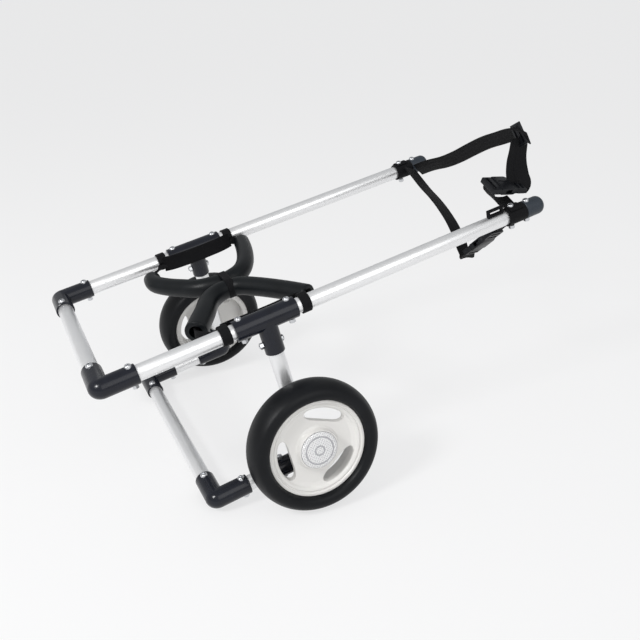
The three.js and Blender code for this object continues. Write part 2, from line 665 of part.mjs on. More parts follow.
// Two layers of webbing hang from the slider to the ladder end of the shoulder buckle.
const drop = intoYZ(plate(bandOutline([[1, 94.5], [0, 70], [-3, 38]], 2 * webbingThickness, 8), webbingWidth))
  .translate(railLength - 15, 20 - railHalf, 0);
const socketRoom = room(0, buckleSocketLength, buckleWidth, buckleThickness, shoulderPlace);
add(cart, 'doubled_strap', cut(solid(drop), sliderRoom, socketRoom), webbing);

// A short strap ties the plug of the shoulder buckle to the right collar.
const tether = plate(bandOutline([[-73, 50], [-71, 36], [-61, 23], [-48, 15.4], [-36, 14.4]],
  webbingThickness, 10), webbingWidth);
const plugRoom = room(-plugBaseLength, 0, buckleWidth, buckleThickness - 2, shoulderPlace);
add(cart, 'plug_strap', cut(solid(intoXZ(tether).translate(railLength, 18 - railHalf, 0)), plugRoom), webbing);

// A stiff webbing keeper stands behind the right collar.
const keeperHalf = 5.6;
const keeper = roundedRectangle(-27, 0, keeperHalf, 2.5);
keeper.holes.push(roundedRectangle(-24, -3, keeperHalf - 3, 1));
add(cart, 'strap_keeper', intoXZ(plate(keeper, 12, 3)), webbing)
  .position.set(collarStart - 5, -railHalf - 2, tubeRadius + seatGap + keeperHalf);

// The belly strap hangs under the dog's chest from the left collar to the plug of the belly buckle.
const bellyRoot = at(collarStart + 23.3, railHalf - collarRadius - 2.7, 0)
  .multiply(new THREE.Matrix4().makeRotationZ(degToRad(-11.8)));
const bellySpan = railSpacing - 76;
const bellyHang = [
  [0, 4], [0.035, 2], [0.108, -3], [0.291, -17.5], [0.486, -27.5], [0.652, -39], [0.776, -51],
  [0.857, -66], [0.904, -79], [0.938, -83.5], [0.97, -77.5], [1.01, -67],
];
const bellyBand = plate(bandOutline(bellyHang.map(([share, z]) => [-share * bellySpan, z]),
  webbingThickness, 28), webbingWidth);
const bellyPlugRoom = room(-plugBaseLength, 0, buckleWidth, buckleThickness - 2, bellyPlace);
add(cart, 'belly_strap', cut(solid(intoYZ(bellyBand).applyMatrix4(bellyRoot)), bellyPlugRoom), webbing);

// ---------------------------------------------------------------- standing pose
// The cart tips back until the bolts under its lower rear elbows and its tyres stand on the same floor.
const wheelRise = wheelOffset * Math.sin(sideLean);
const axleBelow = axleDrop * Math.cos(sideLean) - wheelRise;
const tyreReach = (tyreRadius - tyreShoulder) * Math.cos(sideLean)
  + Math.hypot(tyreShoulder * Math.cos(sideLean), tyreHalfWidth * Math.sin(sideLean));
const ahead = strutSetForward - lowerSetForward + boltRadius;
const above = lowerDrop - axleBelow + fittingRadius + nutHeight + threadShown;
const pitch = Math.asin(tyreReach / Math.hypot(ahead, above)) - Math.atan2(above, ahead);
cart.rotation.y = -pitch;

const stand = new THREE.Group();
stand.add(cart);
stand.updateMatrixWorld(true);
const bounds = new THREE.Box3().setFromObject(stand, true);
cart.position.set(-(bounds.min.x + bounds.max.x) / 2, -(bounds.min.y + bounds.max.y) / 2, -bounds.min.z);

export default stand;
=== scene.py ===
"""A rear-support dog wheelchair: a cart of aluminium tube and black socket fittings on two cambered
wheels, with a foam leg-ring saddle and a webbing harness, built round its CAD frame."""
import math

import bmesh
import bpy
from mathutils import Matrix, Vector


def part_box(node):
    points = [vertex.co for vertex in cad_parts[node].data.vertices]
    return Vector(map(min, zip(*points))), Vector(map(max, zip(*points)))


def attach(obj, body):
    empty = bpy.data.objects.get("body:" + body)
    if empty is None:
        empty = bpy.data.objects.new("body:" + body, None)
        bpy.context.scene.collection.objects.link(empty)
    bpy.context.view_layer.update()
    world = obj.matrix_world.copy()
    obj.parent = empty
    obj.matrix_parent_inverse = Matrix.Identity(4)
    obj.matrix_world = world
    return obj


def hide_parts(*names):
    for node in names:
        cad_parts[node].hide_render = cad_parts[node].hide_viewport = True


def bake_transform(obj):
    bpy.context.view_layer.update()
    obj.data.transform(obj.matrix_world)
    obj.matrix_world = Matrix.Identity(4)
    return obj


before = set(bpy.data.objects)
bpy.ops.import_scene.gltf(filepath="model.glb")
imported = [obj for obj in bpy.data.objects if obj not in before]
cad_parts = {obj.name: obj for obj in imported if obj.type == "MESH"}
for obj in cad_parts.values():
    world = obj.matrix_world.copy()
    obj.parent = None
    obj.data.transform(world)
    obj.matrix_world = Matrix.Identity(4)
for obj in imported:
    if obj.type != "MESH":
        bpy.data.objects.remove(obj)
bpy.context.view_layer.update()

# ------------------------------------------------------------------ aluminium tubes
# 22.2 mm drawn tube, clear anodised to a satin silver, cut square, with a 1.6 mm wall. The ends
# are clamped in the fittings, and each long rail is two lengths that meet inside its tee.
mm = 0.001
clearance = 0.3 * mm
rail_y = 158 * mm
lower_y = 188.36 * mm
lower_x, lower_z = 83.5 * mm, -216 * mm
strut_x = 229 * mm
lean = math.radians(8)
rail_end = 688 * mm


def middle(node):
    """The centre of a solid's box."""
    low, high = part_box(node)
    return (Vector(low) + Vector(high)) / 2


# The cart is drawn level, with X forward along the rails from the rear crossbar and Z up from
# them, and stands nose up on its tyres and on the bolts under its lower rear elbows.
rear_bar = middle("rear_crossbar_tube")
drop = middle("lower_crossbar_tube") - rear_bar
pitch = math.atan2(drop.z, drop.x) - math.atan2(lower_z, lower_x)
cart = Matrix.Translation(rear_bar) @ Matrix.Rotation(-pitch, 4, "Y")


def at(x, y, z):
    return Matrix.Translation((x, y, z))


def turn(degrees, axis):
    return Matrix.Rotation(math.radians(degrees), 4, axis)


flip = Matrix.Scale(-1, 4, (0, 1, 0))
sides = {"left": Matrix.Identity(4), "right": flip}
at_rail = at(0, rail_y, 0)
at_lower = at(lower_x, lower_y, lower_z)
leaning = at(strut_x, rail_y, 0) @ Matrix.Rotation(lean, 4, "X")
strut_foot = lower_z / math.cos(lean)


class Shade:
    """One output socket of a material's node tree."""

    def __init__(self, tree, socket):
        self.tree = tree
        self.socket = socket

    def maths(self, operation, *values):
        inputs = dict(enumerate((self, *values)))
        return node(self.tree, "ShaderNodeMath", {"operation": operation}, inputs)

    def __add__(self, other):
        return self.maths("ADD", other)

    def __rsub__(self, other):
        return self * -1 + other

    def __mul__(self, other):
        return self.maths("MULTIPLY", other)

    def above(self, edge):
        return self.maths("GREATER_THAN", edge)

    def wave(self, per_metre):
        return (self * (2 * math.pi * per_metre)).maths("SINE")

    def size(self):
        return self.maths("ABSOLUTE")

    __radd__ = __add__
    __rmul__ = __mul__


def node(tree, kind, settings=None, inputs=None, output=0):
    made = tree.nodes.new(kind)
    for name, value in (settings or {}).items():
        if name == "stops":
            for stop, (place, colour) in zip(made.color_ramp.elements, value):
                stop.position, stop.color = place, colour
        else:
            setattr(made, name, value)
    for name, value in (inputs or {}).items():
        if isinstance(value, Shade):
            tree.links.new(value.socket, made.inputs[name])
        else:
            made.inputs[name].default_value = value
    return Shade(tree, made.outputs[output])


def mix(tree, share, low, high):
    return node(tree, "ShaderNodeMix", {"data_type": "RGBA"}, {0: share, 6: low, 7: high}, output=2)


def shader(name, colour, roughness, metallic=0.0, **constants):
    """A material with a Principled shader, and its tree. Constants are set on the shader's sockets."""
    made = bpy.data.materials.new(name)
    made.use_nodes = True
    surface = made.node_tree.nodes["Principled BSDF"].inputs
    surface["Base Color"].default_value = (*colour, 1)
    surface["Roughness"].default_value = roughness
    surface["Metallic"].default_value = metallic
    for socket, value in constants.items():
        surface[socket.replace("_", " ")].default_value = value
    made.diffuse_color = (*colour, 1)
    return made, made.node_tree


def feed(tree, socket, value):
    tree.links.new(value.socket, tree.nodes["Principled BSDF"].inputs[socket])


def noise(tree, scale, detail):
    place = node(tree, "ShaderNodeTexCoord", output="Object")
    return node(tree, "ShaderNodeTexNoise", None, {"Vector": place, "Scale": scale, "Detail": detail})


def bump(tree, height, depth, strength, under=None):
    inputs = {"Height": height, "Distance": depth, "Strength": strength}
    if under:
        inputs["Normal"] = under
    return node(tree, "ShaderNodeBump", None, inputs)


def piece(name, bm, place, material, body="cart_frame", stands_for=(), crease=35):
    """Puts a mesh in its place as a named piece that rides on a body and stands for its solids."""
    bmesh.ops.transform(bm, matrix=place, verts=bm.verts)
    bmesh.ops.remove_doubles(bm, verts=bm.verts, dist=1e-6)
    bmesh.ops.recalc_face_normals(bm, faces=bm.faces)
    mesh = bpy.data.meshes.new(name)
    bm.to_mesh(mesh)
    bm.free()
    mesh.shade_smooth()
    mesh.set_sharp_from_angle(angle=math.radians(crease))
    made = bpy.data.objects.new(name, mesh)
    bpy.context.scene.collection.objects.link(made)
    mesh.materials.append(material)
    if body:
        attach(made, body)
    if stands_for:
        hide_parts(*stands_for)
    return made


def lathe(profile, place=Matrix.Identity(4), segments=64):
    """A profile of (radius, height) points turned about Z. One that ends off the axis closes on itself."""
    bm = bmesh.new()
    points = [bm.verts.new((r, 0, h)) for r, h in profile]
    pairs = list(zip(points, points[1:]))
    if profile[0][0] > 0 or profile[-1][0] > 0:
        pairs.append((points[-1], points[0]))
    edges = [bm.edges.new(pair) for pair in pairs]
    bmesh.ops.spin(bm, geom=points + edges, cent=(0, 0, 0), axis=(0, 0, 1), angle=2 * math.pi,
                   steps=segments, use_merge=True)
    bmesh.ops.remove_doubles(bm, verts=bm.verts, dist=1e-6)
    bmesh.ops.recalc_face_normals(bm, faces=bm.faces)
    bmesh.ops.transform(bm, matrix=place, verts=bm.verts)
    return bm


def rounded(profile, radius, steps=3):
    """The same closed profile with its corners rounded off, as moulding and turning leave them."""
    soft = []
    for before, corner, after in zip(profile[-1:] + profile[:-1], profile, profile[1:] + profile[:1]):
        corner = Vector(corner)
        back, on = Vector(before) - corner, Vector(after) - corner
        reach = min(radius, back.length * 0.45, on.length * 0.45)
        if corner.x <= 0 or reach < 1e-5:
            soft.append(tuple(corner))
            continue
        start, end = corner + back.normalized() * reach, corner + on.normalized() * reach
        for i in range(steps + 1):
            share = i / steps
            near, far = start.lerp(corner, share), corner.lerp(end, share)
            soft.append(tuple(near.lerp(far, share)))
    return soft


tube_radius, tube_wall = 11.1 * mm, 1.6 * mm
socket_depth, elbow_arm = 38 * mm, 50 * mm
tee_half, tee_branch = 45.5 * mm, 49 * mm
seated = elbow_arm - socket_depth + clearance

anodised, tree = shader("anodised tube", (0.86, 0.865, 0.87), 0.3, 0.8)
grain = noise(tree, 60, detail=3)
fine = noise(tree, 900, detail=2)
feed(tree, "Base Color", mix(tree, grain * 0.6, (0.82, 0.825, 0.835, 1), (0.91, 0.91, 0.91, 1)))
feed(tree, "Roughness", 0.29 + grain * 0.08 + fine * 0.06)
feed(tree, "Normal", bump(tree, fine, 0.00003, 0.5))


def tube(length):
    """A tube along Z with its cut edges just broken."""
    inner, broken_edge = tube_radius - tube_wall, 0.3 * mm
    wall = [(inner, 0), (tube_radius, 0), (tube_radius, length), (inner, length)]
    return lathe(rounded(wall, broken_edge, 2))


forward = turn(90, "Y")
tee_seat = tee_half - socket_depth + clearance
for side, hand in sides.items():
    runs = {
        "rear_rail_tube": (at_rail @ at(seated, 0, 0) @ forward, strut_x - tee_seat - seated),
        "front_rail_tube": (at_rail @ at(strut_x + tee_seat, 0, 0) @ forward, rail_end - strut_x - tee_seat),
        "lower_side_tube": (at_lower @ at(seated, 0, 0) @ forward, strut_x - lower_x - 2 * seated),
        "strut_tube": (leaning @ at(0, 0, strut_foot + seated),
                       -strut_foot - seated - (tee_branch - socket_depth + clearance)),
    }
    for word, (place, length) in runs.items():
        piece(f"{side}_{word}_drawn", tube(length), cart @ hand @ place, anodised,
              stands_for=[f"{side}_{word}"])
for word, half, place in (("rear", rail_y, at(0, 0, 0)), ("lower", lower_y, at(lower_x, 0, lower_z))):
    length = 2 * (half - seated)
    piece(f"{word}_crossbar_drawn", tube(length), cart @ place @ turn(-90, "X") @ at(0, 0, -length / 2),
          anodised, stands_for=[f"{word}_crossbar_tube"])

# ------------------------------------------------------------------ socket fittings
# Glass-filled nylon elbows and tees, moulded glossy blue-black, swept on the outside of the corner
# and sharp on the inside, with deep round sockets and a faint parting line.
socket_radius, bore_radius = 13.8 * mm, 11.4 * mm
run_radius = socket_radius + 0.9 * mm
bend, bend_steps = 4 * mm, 12

moulded, tree = shader("blue-black nylon", (0.004, 0.005, 0.009), 0.2, Coat_Weight=0.08, Coat_Roughness=0.1,
                       Specular_IOR_Level=0.32)
ripple = noise(tree, 90, detail=2)
pits = noise(tree, 1400, detail=1)
feed(tree, "Base Color", mix(tree, ripple, (0.0035, 0.0042, 0.008, 1), (0.0065, 0.0085, 0.016, 1)))
feed(tree, "Roughness", 0.16 + ripple * 0.1 + pits * 0.05)
feed(tree, "Normal", bump(tree, pits, 0.00004, 0.4, under=bump(tree, ripple, 0.0004, 0.35)))


def sweep(bm, face, stations):
    """Draws a face out through a row of places, and gives the ring of corners at each."""
    rings = [list(face.verts)]
    for before, after in zip(stations, stations[1:]):
        drawn = bmesh.ops.extrude_face_region(bm, geom=[face])["geom"]
        if len(face.edges[0].link_faces) > 2:
            bmesh.ops.delete(bm, geom=[face], context="FACES_ONLY")
        face = next(part for part in drawn if isinstance(part, bmesh.types.BMFace))
        rings.append([part for part in drawn if isinstance(part, bmesh.types.BMVert)])
        bmesh.ops.transform(bm, matrix=after @ before.inverted(), verts=rings[-1])
    return rings


def carved(bm, *tools, operation="DIFFERENCE"):
    """The mesh with the tools cut away from it, or joined to it."""
    bodies = []
    for part in (bm, *tools):
        mesh = bpy.data.meshes.new("carving")
        bmesh.ops.recalc_face_normals(part, faces=part.faces)
        part.to_mesh(mesh)
        part.free()
        bodies.append(bpy.data.objects.new("carving", mesh))
        bpy.context.scene.collection.objects.link(bodies[-1])
    for tool in bodies[1:]:
        cutter = bodies[0].modifiers.new("cut", "BOOLEAN")
        cutter.operation, cutter.object, cutter.solver = operation, tool, "EXACT"
    result = bmesh.new()
    result.from_object(bodies[0], bpy.context.evaluated_depsgraph_get())
    for body in bodies:
        bpy.data.meshes.remove(body.data)
    return result


def rod(radius, start, end, place=Matrix.Identity(4), soft=0.7 * mm):
    """A solid round bar along Z with its end corners softened."""
    profile = [(0, start), (radius, start), (radius, end - soft), (radius - soft, end), (0, end)]
    return lathe(profile, place, 48)


def socket(arm, place):
    """The round hole that takes a tube, from the end of an arm along Z down to its floor."""
    return lathe([(0, arm - socket_depth), (bore_radius, arm - socket_depth), (bore_radius, arm + 1 * mm),
                  (0, arm + 1 * mm)], place, 48)


def elbow():
    """Arms along +X and -Y, swept round on the outside and sharp in the inner corner."""
    arms = [turn(90, "Y"), turn(90, "X")]
    runs = [rod(socket_radius, bend - 0.5 * mm, elbow_arm, way) for way in arms]
    section = bmesh.new()
    bmesh.ops.create_circle(section, cap_ends=True, segments=48, radius=socket_radius - 0.01 * mm,
                            matrix=at(0, bend, 0) @ turn(90, "Y"))
    bmesh.ops.bisect_plane(section, geom=section.verts[:] + section.edges[:] + section.faces[:],
                           plane_co=(0, 0, 0), plane_no=(0, 1, 0), clear_inner=True)
    section.faces.ensure_lookup_table()
    stations = [at(bend, -bend, 0) @ turn(90 * i / bend_steps, "Z") for i in range(bend_steps + 1)]
    bmesh.ops.transform(section, matrix=stations[0], verts=section.verts)
    sweep(section, section.faces[0], stations)
    bmesh.ops.remove_doubles(section, verts=section.verts, dist=1e-6)
    whole = carved(section, *runs, operation="UNION")
    return carved(whole, *(socket(elbow_arm, way) for way in arms))


def tee():
    """A run along X with a branch down -Z."""
    ends = [turn(90, "Y"), turn(-90, "Y")]
    down = turn(180, "X")
    halves = [rod(run_radius, start, tee_half, way) for start, way in zip((0, -1 * mm), ends)]
    run = carved(*halves, operation="UNION")
    whole = carved(run, rod(socket_radius, 0, tee_branch, down), operation="UNION")
    return carved(whole, *(socket(tee_half, way) for way in ends), socket(tee_branch, down))


# ------------------------------------------------------------------ cross bolts
# Zinc-plated M5 bolts with domed socket heads, and lock nuts on the far side of each fitting.
head_radius, head_height, key_radius = 5 * mm, 3.2 * mm, 1.8 * mm
nut_radius, nut_height = 4.6 * mm, 4.8 * mm
thread_radius, thread_end = 2.5 * mm, 1 * mm

plated, tree = shader("zinc-plated steel", (0.62, 0.63, 0.65), 0.26, 1.0)
turning = noise(tree, 500, detail=3)
feed(tree, "Roughness", 0.2 + turning * 0.16)
feed(tree, "Normal", bump(tree, turning, 0.00004, 0.5))


def merged(*parts):
    """Several closed meshes as one."""
    whole = bmesh.new()
    for part in parts:
        mesh = bpy.data.meshes.new("part")
        part.to_mesh(mesh)
        part.free()
        whole.from_mesh(mesh)
        bpy.data.meshes.remove(mesh)
    return whole


def cross_bolt(seat):
    """A bolt along Z through a fitting with walls at +seat and -seat: head above, nut below."""
    dome = lathe([(0, -1 * mm), (head_radius, -1 * mm), (head_radius, 0.5 * mm),
                  (head_radius * 0.93, head_height * 0.5), (head_radius * 0.75, head_height * 0.85),
                  (head_radius * 0.5, head_height), (0, head_height)], at(0, 0, seat), 32)
    key = bmesh.new()
    bmesh.ops.create_cone(key, cap_ends=True, segments=6, radius1=key_radius, radius2=key_radius,
                          depth=4 * mm, matrix=at(0, 0, seat + head_height + 0.2 * mm))
    head = carved(dome, key)
    nut = bmesh.new()
    bmesh.ops.create_cone(nut, cap_ends=True, segments=6, radius1=nut_radius, radius2=nut_radius,
                          depth=nut_height, matrix=at(0, 0, -seat - nut_height / 2))
    under = -seat - nut_height
    tip = lathe([(0, under + 0.5 * mm), (thread_radius, under + 0.5 * mm), (thread_radius, under - 0.6 * mm),
                 (thread_radius - 0.4 * mm, under - thread_end), (0, under - thread_end)], segments=20)
    return merged(head, nut, tip)


elbow_bolt = 42 * mm
tee_bolt = 35.5 * mm
branch_bolt = -34 * mm
axle_up = 38 * mm
for side, hand in sides.items():
    corner = leaning @ at(0, 0, strut_foot) @ turn(90, "X") @ turn(180, "Z")
    fittings = {
        "upper_elbow": (elbow(), at_rail),
        "lower_elbow": (elbow(), at_lower),
        "bottom_elbow": (elbow(), corner),
        "tee": (tee(), leaning),
    }
    for word, (bm, place) in fittings.items():
        piece(f"{side}_{word}_moulded", bm, cart @ hand @ place, moulded,
              stands_for=[f"{side}_{word}"], crease=40)
    bolts = {
        "upper_rail": (socket_radius, at_rail @ at(elbow_bolt, 0, 0)),
        "upper_crossbar": (socket_radius, at_rail @ at(0, -elbow_bolt, 0)),
        "lower_side": (socket_radius, at_lower @ at(elbow_bolt, 0, 0)),
        "lower_crossbar": (socket_radius, at_lower @ at(0, -elbow_bolt, 0)),
        "bottom": (socket_radius, corner @ at(elbow_bolt, 0, 0) @ turn(-90, "X")),
        "tee_rear": (run_radius, leaning @ at(-tee_bolt, 0, 0)),
        "tee_front": (run_radius, leaning @ at(tee_bolt, 0, 0)),
        "tee_branch": (socket_radius, leaning @ at(0, 0, branch_bolt) @ turn(90, "Y")),
    }
    for word, (seat, place) in bolts.items():
        piece(f"{side}_{word}_bolt", cross_bolt(seat), cart @ hand @ place, plated)

# ------------------------------------------------------------------ wheels
# Each wheel turns on an M8 bolt through the bottom elbow. Wheel pieces are drawn about Z, with
# their outer side up, and the right wheel's are the left wheel's turned round.
wheel_out = 43 * mm
axle_z = strut_foot + axle_up
wheel_place = leaning @ at(0, wheel_out, axle_z) @ turn(-90, "X")

# The tyre is foam-filled rubber, round and smooth, with a soft shoulder on either side.
rubber, tree = shader("tyre rubber", (0.004, 0.0043, 0.005), 0.4, Specular_IOR_Level=0.17)
skin = noise(tree, 220, detail=4)
dust = noise(tree, 25, detail=3)
feed(tree, "Base Color", mix(tree, dust, (0.003, 0.0033, 0.004, 1), (0.0075, 0.0085, 0.0105, 1)))
feed(tree, "Roughness", 0.34 + skin * 0.12 + dust * 0.06)
feed(tree, "Normal", bump(tree, skin, 0.0002, 0.3))

tyre_radius, tyre_half = 95 * mm, 26 * mm
lip_radius, rim_half, seat_radius = 70 * mm, 17 * mm, 64.5 * mm


def tyre():
    """A round section with a soft shoulder on either side, and a bead that fills the rim's seat."""
    section, bead = 15.5 * mm, rim_half - 2.8 * mm
    lip, seat = lip_radius + clearance, seat_radius + clearance
    crown = tyre_radius - section
    swing, steps = math.radians(118), 28
    shoulder_height, shoulder_at, shoulder_spread = 0.35 * mm, math.radians(62), 0.12
    profile = [(lip, -rim_half)]
    for i in range(steps + 1):
        angle = swing * (2 * i / steps - 1)
        raised = shoulder_height * math.exp(-((abs(angle) - shoulder_at) / shoulder_spread) ** 2)
        profile.append((crown + (section + raised) * math.cos(angle), (tyre_half + raised) * math.sin(angle)))
    profile += [(lip, rim_half), (lip, bead), (seat, bead), (seat, -bead), (lip, -bead)]
    return lathe(profile, segments=128)


# The rim is white moulded plastic: a rolled lip with a groove inside it, a dished face with three
# D-shaped windows, and a raised boss that carries the reflector.
white, tree = shader("white rim plastic", (0.78, 0.77, 0.73), 0.32, Coat_Weight=0.15, Coat_Roughness=0.2)
cloud = noise(tree, 18, detail=2)
orange = noise(tree, 600, detail=2)
feed(tree, "Base Color", mix(tree, cloud, (0.66, 0.65, 0.63, 1), (0.73, 0.72, 0.7, 1)))
feed(tree, "Roughness", 0.26 + cloud * 0.1 + orange * 0.05)
feed(tree, "Normal", bump(tree, orange, 0.00005, 0.3))

web_face, web = 12 * mm, 10 * mm
barrel = seat_radius - 3.5 * mm
boss_radius, reflector_radius = 28.5 * mm, 26.5 * mm
reflector_seat = 19.2 * mm
hub_radius, hub_reach = 16 * mm, 22 * mm
bearing_pocket = 11.3 * mm
axle_bore, wrench_room = 7.5 * mm, 18 * mm
window_count = 3
slot_inner, slot_outer, slot_half = 38 * mm, 58 * mm, 32 * mm


def slab(outline, thickness, soft=0.0):
    """A flat outline pushed out to a thickness, centred on its own plane, with its long edges softened."""
    bm = bmesh.new()
    face = bm.faces.new([bm.verts.new((x, y, -thickness / 2)) for x, y in outline])
    drawn = bmesh.ops.extrude_face_region(bm, geom=[face], use_keep_orig=True)["geom"]
    top = [part for part in drawn if isinstance(part, bmesh.types.BMVert)]
    bmesh.ops.translate(bm, verts=top, vec=(0, 0, thickness))
    if soft:
        long_edges = [edge for edge in bm.edges if abs(edge.verts[0].co.z - edge.verts[1].co.z) < 1e-7]
        bmesh.ops.bevel(bm, geom=long_edges, affect="EDGES", offset=soft, segments=2, profile=0.5,
                        material=-1)
    return bm


def window():
    """The prism that cuts one D-shaped window: straight towards the hub and round towards the rim."""
    swing = math.asin(slot_half * 0.86 / slot_outer)
    half_arc, end_steps, through = 10, 7, 80 * mm
    arc = [(slot_outer * math.cos(a), slot_outer * math.sin(a))
           for a in (swing * (1 - i / half_arc) for i in range(2 * half_arc + 1))]
    start = Vector((slot_inner, slot_half * 0.62))
    corner = Vector((slot_inner + 2.5 * mm, slot_half * 1.14))
    shares = [i / end_steps for i in range(end_steps)]
    end = [tuple(start.lerp(corner, t).lerp(corner.lerp(Vector(arc[0]), t), t)) for t in shares]
    return slab(end + arc + [(x, -y) for x, y in end[::-1]], through)


def rim():
    """The lips, dish, boss and hub turned as one section about the axle, with the windows cut out."""
    lip_inner, web_back = rim_half - 2.5 * mm, web_face - web
    pocket, boss_top = reflector_radius + clearance, reflector_seat + 1.6 * mm
    outer_floor, inner_floor = 5.7 * mm, -14.7 * mm
    profile = rounded([
        (axle_bore, outer_floor), (bearing_pocket, outer_floor), (bearing_pocket, web_face + 1 * mm),
        (wrench_room, web_face + 1 * mm), (wrench_room, reflector_seat), (pocket, reflector_seat),
        (pocket, boss_top), (boss_radius, boss_top),
        (boss_radius + 1 * mm, web_face + 1.5 * mm), (boss_radius + 4 * mm, web_face - 0.6 * mm),
        (barrel - 9 * mm, web_face - 1.2 * mm), (barrel - 3 * mm, web_face + 0.5 * mm),
        (barrel - 1 * mm, rim_half - 2 * mm), (barrel + 2 * mm, rim_half - 1 * mm),
        (barrel + 3 * mm, rim_half - 2.2 * mm), (barrel + 4 * mm, rim_half - 2.2 * mm),
        (barrel + 5 * mm, rim_half), (lip_radius, rim_half), (lip_radius, lip_inner),
        (seat_radius, lip_inner), (seat_radius, -lip_inner), (lip_radius, -lip_inner),
        (lip_radius, -rim_half), (barrel, -rim_half), (barrel, web_back), (hub_radius, web_back),
        (hub_radius, -hub_reach), (bearing_pocket, -hub_reach), (bearing_pocket, inner_floor),
        (axle_bore, inner_floor)], 0.8 * mm)
    windows = [window() for _ in range(window_count)]
    for i, tool in enumerate(windows):
        bmesh.ops.transform(tool, matrix=turn(180 + 360 / window_count * i, "Z"), verts=tool.verts)
    return carved(lathe(profile, segments=120), *windows)


# The reflector is a clear disc with prisms moulded in its back: bands of small cells between plain
# rings. Their glitter is painted: the cells are painted near white as glint, the plain rings grey.


def carried(tree):
    """The across and along values that a piece keeps at its own points."""
    return [node(tree, "ShaderNodeAttribute", {"attribute_name": word}, output=2)
            for word in ("across", "along")]


ring_spacing, plain_from = 6.6 * mm, 5.6 * mm
clear, tree = shader("prismatic reflector", (0.7, 0.71, 0.72), 0.12, 0.15, Coat_Weight=0.6,
                     Coat_Roughness=0.04)
across, along = carried(tree)
out_from_centre = (across * across + along * along).maths("SQRT")
cell = across.wave(190) * along.wave(190)
slanted = (across + along).wave(95)
plain = out_from_centre.maths("PINGPONG", ring_spacing).above(plain_from)
prism_cells_and_painted_glint = (cell.size() + slanted.size() * 0.5) * (1 - plain)
# Painted glint: the prism cells are painted near white and the plain rings grey; the same mask also gives the
# prisms' real relief.
feed(tree, "Base Color", mix(tree, prism_cells_and_painted_glint * 0.9, (0.34, 0.34, 0.36, 1), (0.92, 0.92, 0.92, 1)))
feed(tree, "Metallic", prism_cells_and_painted_glint * 0.25)
feed(tree, "Roughness", 0.1 + plain * 0.1 + cell.size() * 0.08)
feed(tree, "Normal", bump(tree, prism_cells_and_painted_glint, 0.0006, 0.8))

reflector_thickness = 3.2 * mm


def marked(bm, positions):
    """Keeps each point's own x and y in the mesh, for materials that follow the piece."""
    across, along = bm.verts.layers.float.new("across"), bm.verts.layers.float.new("along")
    for vertex, (x, y) in zip(bm.verts, positions):
        vertex[across], vertex[along] = x, y
    return bm


def reflector():
    """A disc with a slightly raised middle, set into the boss."""
    bottom = reflector_seat + clearance
    top = bottom + reflector_thickness
    bm = lathe(rounded([(0, bottom), (reflector_radius, bottom), (reflector_radius, top - 1.4 * mm),
                        (reflector_radius - 3 * mm, top - 0.3 * mm), (0, top)], 0.6 * mm), segments=96)
    return marked(bm, [vertex.co.xy for vertex in bm.verts])


for side, hand in sides.items():
    place = cart @ hand @ wheel_place
    body = f"{side}_wheel"
    piece(f"{side}_tyre_rubber", tyre(), place, rubber, body, [f"{side}_tyre"], crease=50)
    piece(f"{side}_rim_moulded", rim(), place, white, body, [f"{side}_rim"], crease=30)
    piece(f"{side}_reflector_disc", reflector(), place, clear, body, [f"{side}_reflector"])

# The bearings, sleeves, standoffs, axle bolts and lock nuts keep the shape of their solids, zinc-plated.
for name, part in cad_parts.items():
    if "axle" in name or "bearing" in name:
        part.data.materials.clear()
        part.data.materials.append(plated)

# ------------------------------------------------------------------ foam saddle
# Two rings of thick-walled black foam sleeve. Each runs from a mouth near the rear loop, round
# past the middle of the saddle, to a mouth near the front loop.
foam_radius, foam_hole = 16.5 * mm, 11.4 * mm
foam_centre = foam_radius + clearance
saddle_z = -8 * mm
saddle_route = {
    "left": [(-88, 0.72), (-90, 0.6), (-79, 0.42), (-57, 0.2), (-35, 0.03), (-15, -0.016), (15, -0.016),
             (30, 0.04), (46, 0.19), (60, 0.42), (70, 0.66), (75, 0.82)],
    "right": [(-83, 0.6), (-71, 0.46), (-57, 0.31), (-37, 0.08), (-15, -0.016), (8, -0.01), (27, 0.14),
              (50, 0.39), (68, 0.62), (78, 0.76)],
}
# Stretched over the webbing inside it, the foam is fuller or slimmer at its ends than under the tie.
saddle_fullness = {"left": (0.82, 0.87, 0.8), "right": (1, 0.87, 0.86)}
pinch, pinch_length = 0.08, 9 * mm
foam_stations, easing_passes = 90, 12

sponge, tree = shader("closed-cell foam", (0.004, 0.005, 0.006), 0.45, Specular_IOR_Level=0.22)
cells = noise(tree, 1100, detail=2)
dents = noise(tree, 45, detail=3)
feed(tree, "Base Color", mix(tree, dents, (0.0015, 0.0023, 0.0031, 1), (0.0048, 0.0067, 0.0085, 1)))
feed(tree, "Roughness", 0.3 + dents * 0.14 + cells * 0.08)
feed(tree, "Normal", bump(tree, cells, 0.0001, 0.35, under=bump(tree, dents, 0.0006, 0.15)))


def smooth_line(points, steps):
    """Even stations along a smooth curve through points."""
    curve = bpy.data.curves.new("line", "CURVE")
    curve.dimensions = "3D"
    spline = curve.splines.new("BEZIER")
    spline.bezier_points.add(len(points) - 1)
    for knot, point in zip(spline.bezier_points, points):
        knot.co = point
        knot.handle_left_type = knot.handle_right_type = "AUTO"
    spline.resolution_u = 24
    holder = bpy.data.objects.new("line", curve)
    bpy.context.scene.collection.objects.link(holder)
    fine = [vertex.co.copy() for vertex in holder.to_mesh().vertices]
    holder.to_mesh_clear()
    bpy.data.curves.remove(curve)
    lengths = [0]
    for before, after in zip(fine, fine[1:]):
        lengths.append(lengths[-1] + (after - before).length)
    spaced, i = [], 0
    for step in range(steps + 1):
        target = lengths[-1] * step / steps
        while i < len(fine) - 2 and lengths[i + 1] < target:
            i += 1
        share = (target - lengths[i]) / max(lengths[i + 1] - lengths[i], 1e-9)
        spaced.append(fine[i].lerp(fine[i + 1], min(share, 1)))
    return spaced


